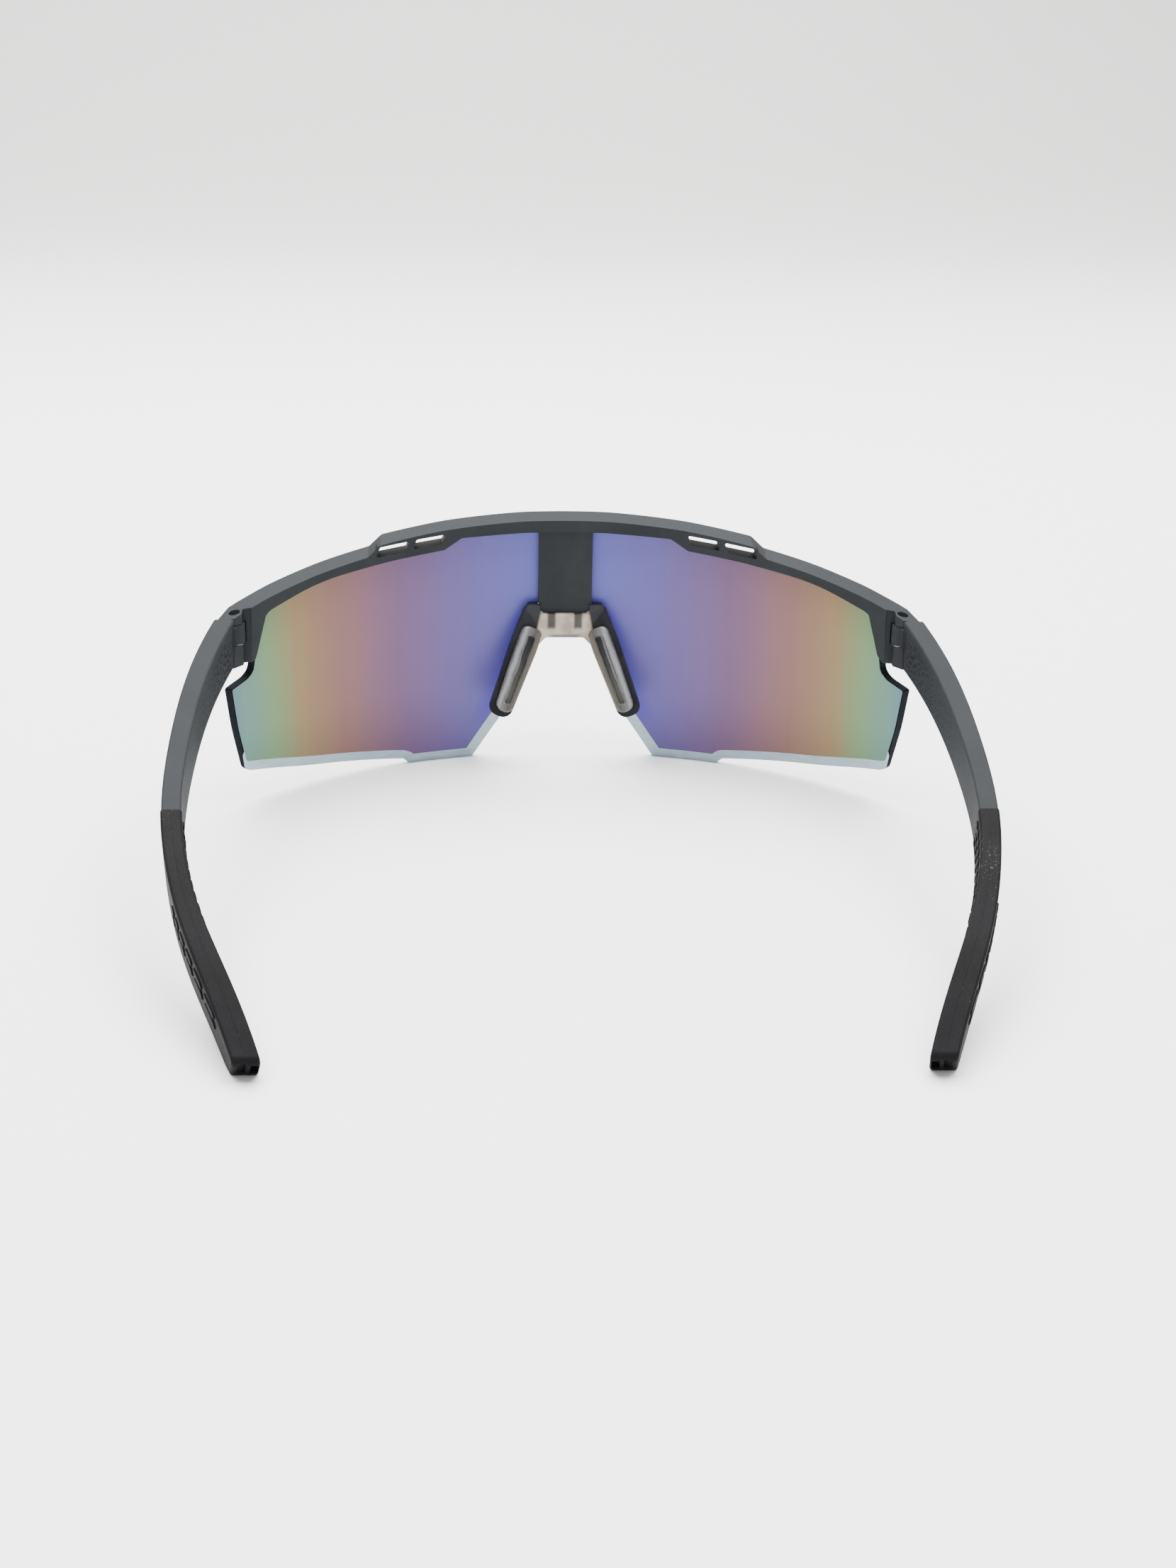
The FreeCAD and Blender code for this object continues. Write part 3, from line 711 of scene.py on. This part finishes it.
def grip_details(side):
    """Raised cells on both sides of a grip, and the fine line left by the mould along its top."""
    sign = 1 if side == "left" else -1
    body = "arm_" + side
    tree = surface_tree("grip_" + side)
    down = arm_to_world(0, 1, 0) - arm_to_world(0, 0, 0)

    def on_side(outwards, along, height):
        """Where a level line from the side meets the grip, as (point, normal)."""
        start = arm_to_world(0, along, height)
        start.x = sign * (0.09 if outwards else 0.03)
        towards = Vector((-sign if outwards else sign, 0, 0))
        place, normal, _, _ = tree.ray_cast(start, towards)
        return place, normal

    inner = bmesh.new()
    along = INNER_CELLS_START
    while along < INNER_CELLS_END:
        length = 2.1 + 0.035 * (along - GRIP_START)
        for row, height in enumerate(INNER_ROWS):
            shift = length * 0.5 * (row % 2)
            place, normal = on_side(False, along + shift, height)
            if place:
                add_cell(inner, place, normal, down, length * 0.82, INNER_TALL, 0.28)
        along += length + 0.25
    finish_rubber(inner, "grip_inner_cells_" + side, body)

    outer = bmesh.new()
    along, length = OUTER_CELLS_START, 2.2
    while along < OUTER_CELLS_END:
        for height, tall in OUTER_ROWS:
            bent = max(0.0, along - 106.0) * TIP_SLOPE
            place, normal = on_side(True, along + length / 2, height - bent)
            if place:
                add_cell(outer, place, normal, down, length, tall, 0.27)
        along += length + 0.8
        length = min(7.5, length * 1.22)
    finish_rubber(outer, "grip_outer_cells_" + side, body)

    line = bmesh.new()
    last = None
    for k in range(LINE_STEPS + 1):
        along = LINE_START + LINE_LENGTH * k / LINE_STEPS
        height = -1.5 - max(0.0, along - 104.0) * TIP_SLOPE
        left, _ = on_side(True, along, height)
        right, _ = on_side(False, along, height)
        if not (left and right):
            continue
        middle = (left + right) / 2
        place, normal, _, _ = tree.ray_cast(Vector((middle.x, middle.y, 0.08)), Vector((0, 0, -1)))
        if place is None:
            continue
        wide = Vector((LINE_HALF * MM, 0, 0))
        up = normal * LINE_PROUD * MM
        points = (place - wide - up, place - wide * 0.6 + up, place + wide * 0.6 + up, place + wide - up)
        ring = [line.verts.new(point) for point in points]
        if last:
            for a in range(3):
                line.faces.new((last[a], last[a + 1], ring[a + 1], ring[a]))
        last = ring
    finish_rubber(line, "grip_parting_line_" + side, body)


for side in ("left", "right"):
    grip_details(side)


# ---- floor and light ------------------------------------------------------------------
def make_stage():
    """A pale table that sweeps up behind the glasses."""
    work = bmesh.new()
    profile = [(TABLE_NEAR, 0.0), (0.0, 0.0), (-SWEEP_START, 0.0)]
    for k in range(1, SWEEP_STEPS + 1):
        angle = math.pi / 2 * k / SWEEP_STEPS
        back = -SWEEP_START - SWEEP_RADIUS * math.sin(angle)
        profile.append((back, SWEEP_RADIUS - SWEEP_RADIUS * math.cos(angle)))
    profile.append((-SWEEP_START - SWEEP_RADIUS, WALL_TOP))
    columns = [TABLE_HALF * share for share in (-1.0, -0.5, 0.0, 0.5, 1.0)]
    rows = [[work.verts.new((x, y, z)) for x in columns] for y, z in profile]
    for a, b in zip(rows, rows[1:]):
        for k in range(len(columns) - 1):
            work.faces.new((a[k], a[k + 1], b[k + 1], b[k]))
    mesh = bpy.data.meshes.new("table")
    work.to_mesh(mesh)
    work.free()
    for polygon in mesh.polygons:
        polygon.use_smooth = True
    mesh.materials.append(make_floor())
    table = bpy.data.objects.new("table", mesh)
    bpy.context.scene.collection.objects.link(table)


def add_light(name, place, target, size, power):
    lamp = bpy.data.lights.new(name, "AREA")
    lamp.shape = "SQUARE"
    lamp.size = size
    lamp.energy = power
    obj = bpy.data.objects.new(name, lamp)
    bpy.context.scene.collection.objects.link(obj)
    obj.location = place
    aim = Vector(target) - Vector(place)
    obj.rotation_euler = aim.to_track_quat("-Z", "Y").to_euler()


make_stage()
add_light("soft_overhead", (0.0, -0.25, 1.1), (0, -0.1, 0), 1.5, 82.0)
add_light("soft_front", (0.1, -1.25, 0.8), (0, 0, 0.02), 1.0, 10.0)
world = bpy.data.worlds.new("soft_room")
world.use_nodes = True
background = world.node_tree.nodes["Background"]
background.inputs["Color"].default_value = (0.95, 0.97, 1.0, 1.0)
background.inputs["Strength"].default_value = 1.1
bpy.context.scene.world = world


# ---- camera ---------------------------------------------------------------------------
def make_camera():
    pitch, yaw, roll = (math.radians(angle) for angle in (CAMERA_PITCH, CAMERA_YAW, CAMERA_ROLL))
    level = math.cos(pitch)
    forward = Vector((-math.sin(yaw) * level, -math.cos(yaw) * level, -math.sin(pitch)))
    right = forward.cross(Vector((0, 0, 1))).normalized()
    up = right.cross(forward)
    rolled_right = right * math.cos(roll) + up * math.sin(roll)
    rolled_up = up * math.cos(roll) - right * math.sin(roll)
    data = bpy.data.cameras.new("photo_view")
    data.sensor_width = SENSOR
    data.sensor_fit = "AUTO"
    data.lens = FOCAL_SHARE * SENSOR
    data.clip_start = 0.01
    camera = bpy.data.objects.new("photo_view", data)
    bpy.context.scene.collection.objects.link(camera)
    turn = Matrix((rolled_right, rolled_up, -forward)).transposed().to_4x4()
    camera.matrix_world = Matrix.Translation(Vector(CAMERA_PLACE)) @ turn
    bpy.context.scene.camera = camera


make_camera()
